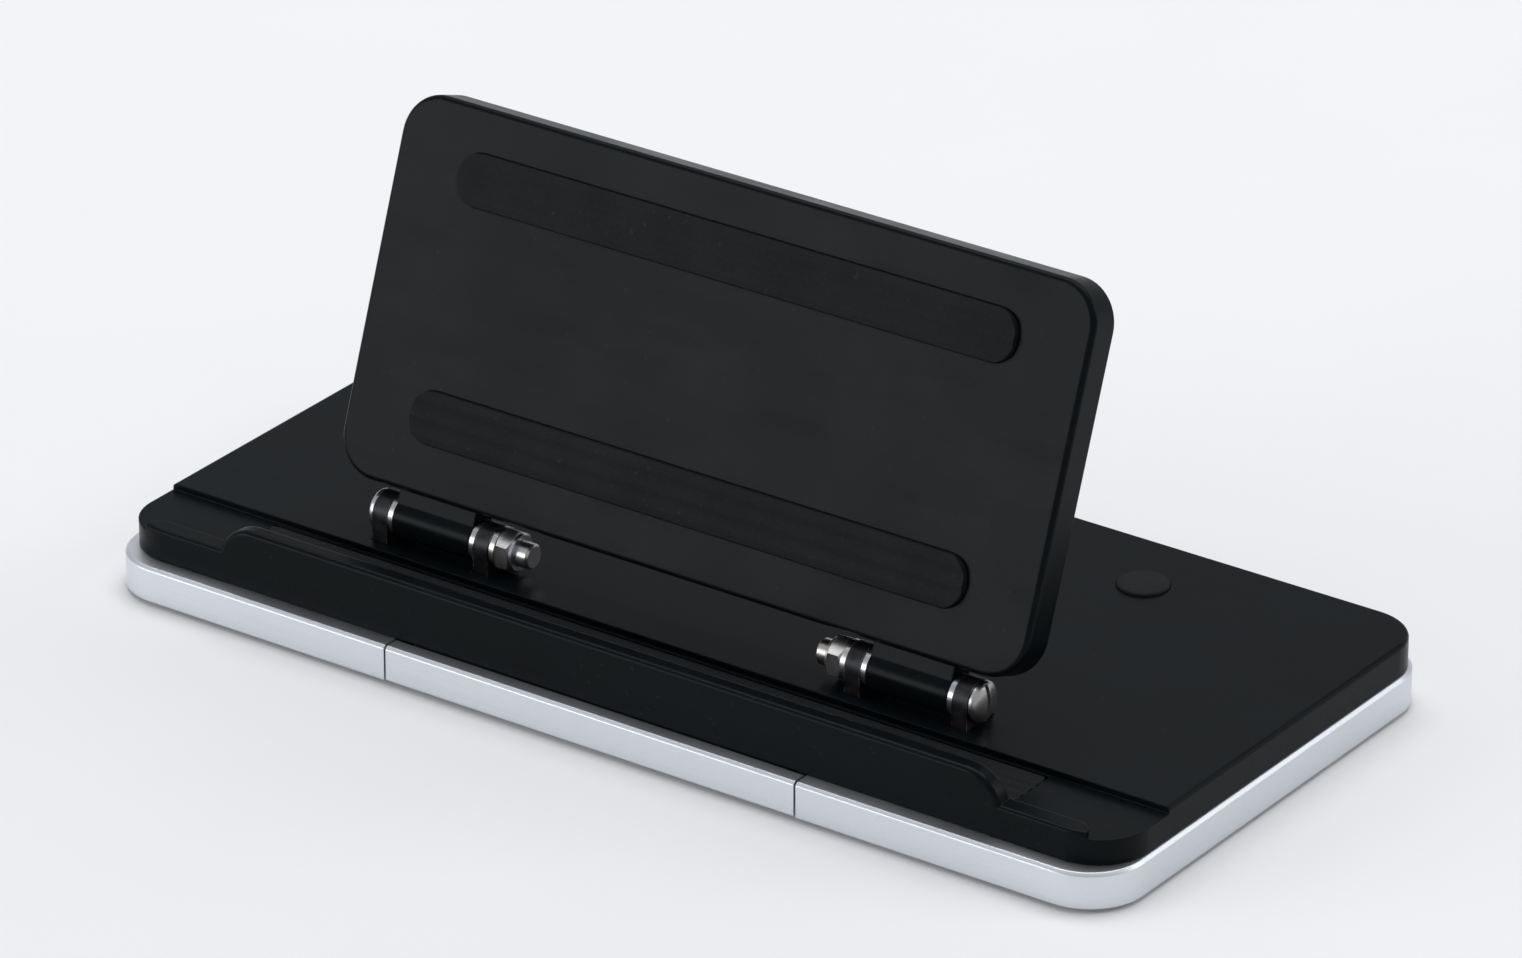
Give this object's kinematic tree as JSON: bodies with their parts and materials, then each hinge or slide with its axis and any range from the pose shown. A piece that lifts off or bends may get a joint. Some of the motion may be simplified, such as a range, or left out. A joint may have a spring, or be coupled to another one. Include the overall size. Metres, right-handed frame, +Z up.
{
  "type": "tablet stand",
  "caption": "Low folding tablet stand: metal-banded base with a front lip and device channel, friction-hinged backrest and a shallow pull-out tray.",
  "frame": {"origin": "centre of the base's footprint, on the table", "axes": "+X along the base to the right of someone facing the device, +Y from the front lip to the rear, +Z up"},
  "size_m": [0.135, 0.065, 0.0562],
  "materials": {
    "band_metal": "satin silver, finely brushed",
    "shell_black": "satin black moulded plastic",
    "cover_black": "matt black, fine texture",
    "rubber": "matt black silicone rubber",
    "steel": "zinc-plated steel",
    "dark_steel": "blackened steel",
    "guide_white": "natural acetal",
    "tray_mat": "closed-cell foam mat"
  },
  "bodies": {
    "base": {"bottom_cover": "cover_black", "base_band": "band_metal", "top_shell": "shell_black", "channel_pad": "rubber", "ballast_plate": "steel", "deck_bumpers": "rubber", "case_screws": "dark_steel", "hinge_screws": "steel", "ballast_screws": "steel", "friction_washers": "steel", "hinge_nuts": "steel", "hinge_bracket_left": "dark_steel", "hinge_bracket_right": "dark_steel", "hinge_pin_left": "steel", "hinge_pin_right": "steel", "tray_guide_left": "guide_white", "tray_guide_right": "guide_white", "foot_front_left": "rubber", "foot_front_right": "rubber", "foot_rear_left": "rubber", "foot_rear_right": "rubber"},
    "tray": {"tray_front": "band_metal", "tray_body": "cover_black", "tray_liner": "tray_mat", "tray_screws": "steel"},
    "backrest": {"backrest_panel": "shell_black", "backrest_cover": "band_metal", "backrest_pad_lower": "rubber", "backrest_pad_upper": "rubber", "backrest_screws": "dark_steel"}
  },
  "joints": [
    {"name": "backrest_tilt", "type": "hinge", "parent": "base", "child": "backrest", "pos_m": [0, -0.0158, 0.0112], "axis": [-1, 0, 0], "range_deg": [-10, 70]},
    {"name": "tray_slide", "type": "slide", "parent": "base", "child": "tray", "axis": [0, -1, 0], "range_m": [0, 0.03]}
  ]
}
